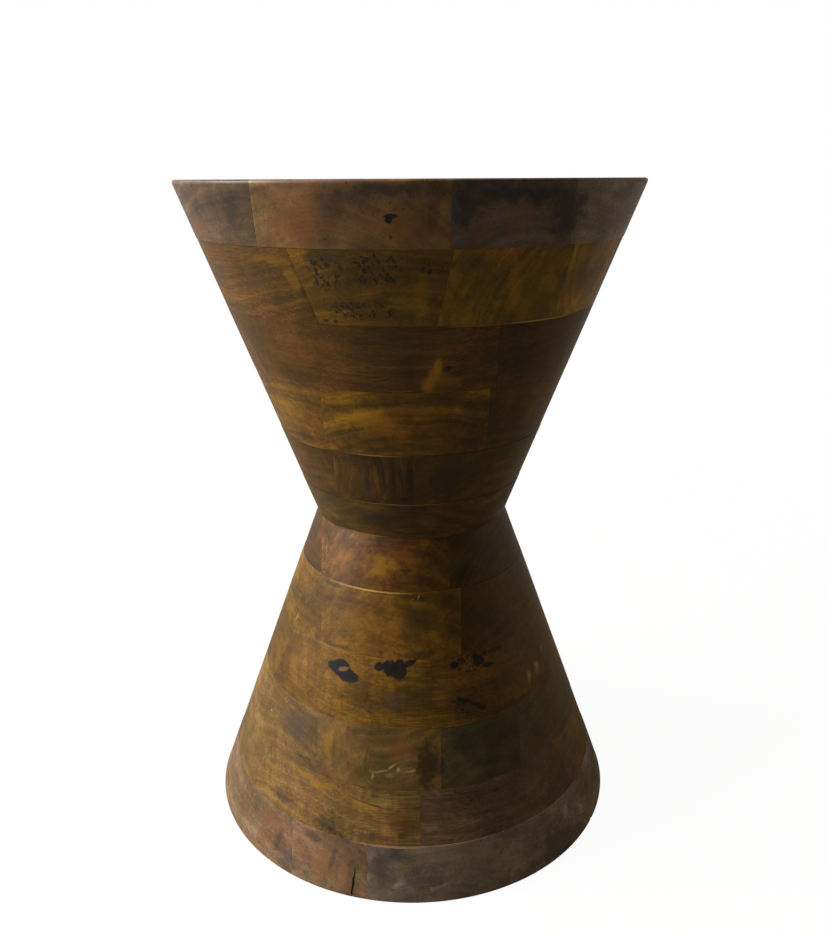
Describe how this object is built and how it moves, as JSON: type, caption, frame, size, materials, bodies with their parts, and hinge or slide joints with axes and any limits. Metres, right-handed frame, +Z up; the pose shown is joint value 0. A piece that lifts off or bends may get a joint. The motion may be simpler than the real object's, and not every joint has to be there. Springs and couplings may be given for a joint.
{
  "type": "hourglass drum side table",
  "caption": "Round hourglass side table or stool, turned from a solid stack of glued hardwood boards, flat on top and base, dark stained with a satin lacquer.",
  "frame": {"origin": "centre of the base, on the floor", "axes": "+Z up along the axis that the table was turned on; the front with the marks faces -Y"},
  "size_m": [0.3074, 0.3074, 0.457],
  "materials": {
    "golden_board": "dark stain, satin lacquer",
    "brown_board": "dark stain, satin lacquer",
    "dark_board": "dark stain, satin lacquer",
    "grey_board": "dark stain, satin lacquer",
    "orange_board": "dark stain, satin lacquer"
  },
  "bodies": {
    "root": {"base_board_1": "grey_board", "base_board_2": "orange_board", "base_board_3": "brown_board", "base_board_4": "grey_board", "lower_fifth_board_1a": "brown_board", "lower_fifth_board_1b": "orange_board", "lower_fifth_board_2": "grey_board", "lower_fifth_board_3": "brown_board", "lower_fifth_board_4a": "golden_board", "lower_fifth_board_4b": "dark_board", "lower_fourth_board_1": "grey_board", "lower_fourth_board_2": "golden_board", "lower_fourth_board_3": "brown_board", "lower_fourth_board_4": "dark_board", "lower_fourth_board_5": "grey_board", "lower_second_board_1": "brown_board", "lower_second_board_2": "golden_board", "lower_second_board_3": "golden_board", "lower_third_board_1a": "dark_board", "lower_third_board_1b": "golden_board", "lower_third_board_2": "brown_board", "lower_third_board_3a": "golden_board", "lower_third_board_3b": "brown_board", "lower_waist_board_1": "brown_board", "lower_waist_board_2": "golden_board", "lower_waist_board_3": "dark_board", "top_board_1": "grey_board", "top_board_2": "orange_board", "top_board_3": "dark_board", "top_board_4": "grey_board", "upper_fifth_board_1": "grey_board", "upper_fifth_board_2": "orange_board", "upper_fifth_board_3": "dark_board", "upper_fourth_board_1": "golden_board", "upper_fourth_board_2": "golden_board", "upper_fourth_board_3": "orange_board", "upper_second_board_1a": "golden_board", "upper_second_board_1b": "golden_board", "upper_second_board_2": "golden_board", "upper_second_board_3a": "brown_board", "upper_second_board_3b": "golden_board", "upper_second_board_4": "brown_board", "upper_third_board_1a": "dark_board", "upper_third_board_1b": "brown_board", "upper_third_board_2": "golden_board", "upper_third_board_3": "brown_board", "upper_third_board_4a": "brown_board", "upper_third_board_4b": "dark_board", "upper_waist_board_1": "dark_board", "upper_waist_board_2": "brown_board", "upper_waist_board_3": "brown_board"}
  },
  "joints": []
}
